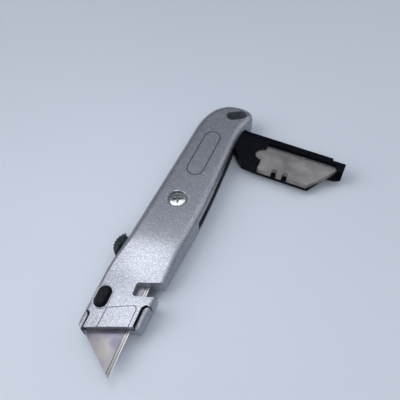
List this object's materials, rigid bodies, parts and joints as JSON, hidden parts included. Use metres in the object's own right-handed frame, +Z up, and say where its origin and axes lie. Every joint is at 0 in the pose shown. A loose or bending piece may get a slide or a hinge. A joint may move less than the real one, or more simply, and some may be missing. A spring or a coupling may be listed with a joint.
{
  "type": "utility knife",
  "caption": "Retractable utility knife with a metal handle in two halves, a sliding trapezoid blade, a quick-release button and a blade magazine that swings out of the belly.",
  "frame": {"origin": "on the assembly screw's axis, in the plane the knife rests on", "axes": "+X from the tail to the blade's tip, +Y from the spine to the belly, +Z up, out of the face with the screw"},
  "size_m": [0.1692, 0.1004, 0.0152],
  "materials": {
    "silver_paint": "silver hammered paint",
    "screw_steel": "bright plated",
    "brass": "plain",
    "black_plastic": "satin",
    "magazine_plastic": "moulded, fine grain",
    "slider_chrome": "dark plated",
    "carrier_steel": "plated",
    "spring_steel": "bright",
    "blade_steel": "ground, with a bright honed edge"
  },
  "bodies": {
    "handle": {"upper_shell": "silver_paint", "lower_shell": "silver_paint", "nose_plate": "silver_paint", "assembly_screw": "screw_steel", "threaded_insert": "brass", "button_spring": "spring_steel", "detent_rail": "spring_steel", "magazine_pivot_pin": "spring_steel", "magazine_catch_spring": "spring_steel"},
    "button": {"release_button": "black_plastic"},
    "carriage": {"blade_carrier": "carrier_steel", "latch_pin": "spring_steel", "latch_spring": "spring_steel", "slider_spring": "spring_steel", "working_blade": "blade_steel"},
    "latch": {"blade_latch": "carrier_steel"},
    "slider": {"thumb_slider": "slider_chrome"},
    "magazine": {"blade_magazine": "magazine_plastic", "spare_blade_1": "blade_steel", "spare_blade_2": "blade_steel", "spare_blade_3": "blade_steel", "spare_blade_4": "blade_steel", "spare_blade_5": "blade_steel"}
  },
  "joints": [
    {"name": "blade_slide", "type": "slide", "parent": "handle", "child": "carriage", "axis": [1, 0, 0], "range_m": [-0.025, 0]},
    {"name": "slider_press", "type": "slide", "parent": "carriage", "child": "slider", "axis": [0, 1, 0], "range_m": [0, 0.001], "stiffness_N_per_m": 600, "springref_m": -0.001, "deforming": ["slider_spring"]},
    {"name": "button_press", "type": "slide", "parent": "handle", "child": "button", "axis": [0, 0, -1], "range_m": [0, 0.0012], "stiffness_N_per_m": 600, "springref_m": -0.001, "deforming": ["button_spring"]},
    {"name": "latch_release", "type": "hinge", "parent": "carriage", "child": "latch", "pos_m": [0.037, -0.0092, 0.0051], "axis": [0, 1, 0], "range_deg": [0, 3.2], "stiffness_Nm_per_rad": 0.02, "springref_deg": -2.86, "deforming": ["latch_spring"]},
    {"name": "magazine_swing", "type": "hinge", "parent": "handle", "child": "magazine", "pos_m": [-0.0602, 0.0138, 0.0076], "axis": [0, 0, 1], "range_deg": [-85, 0]}
  ],
  "couplings": [
    {"joint": "latch_release", "follows": "button_press", "rad_per_m": 45.25}
  ]
}
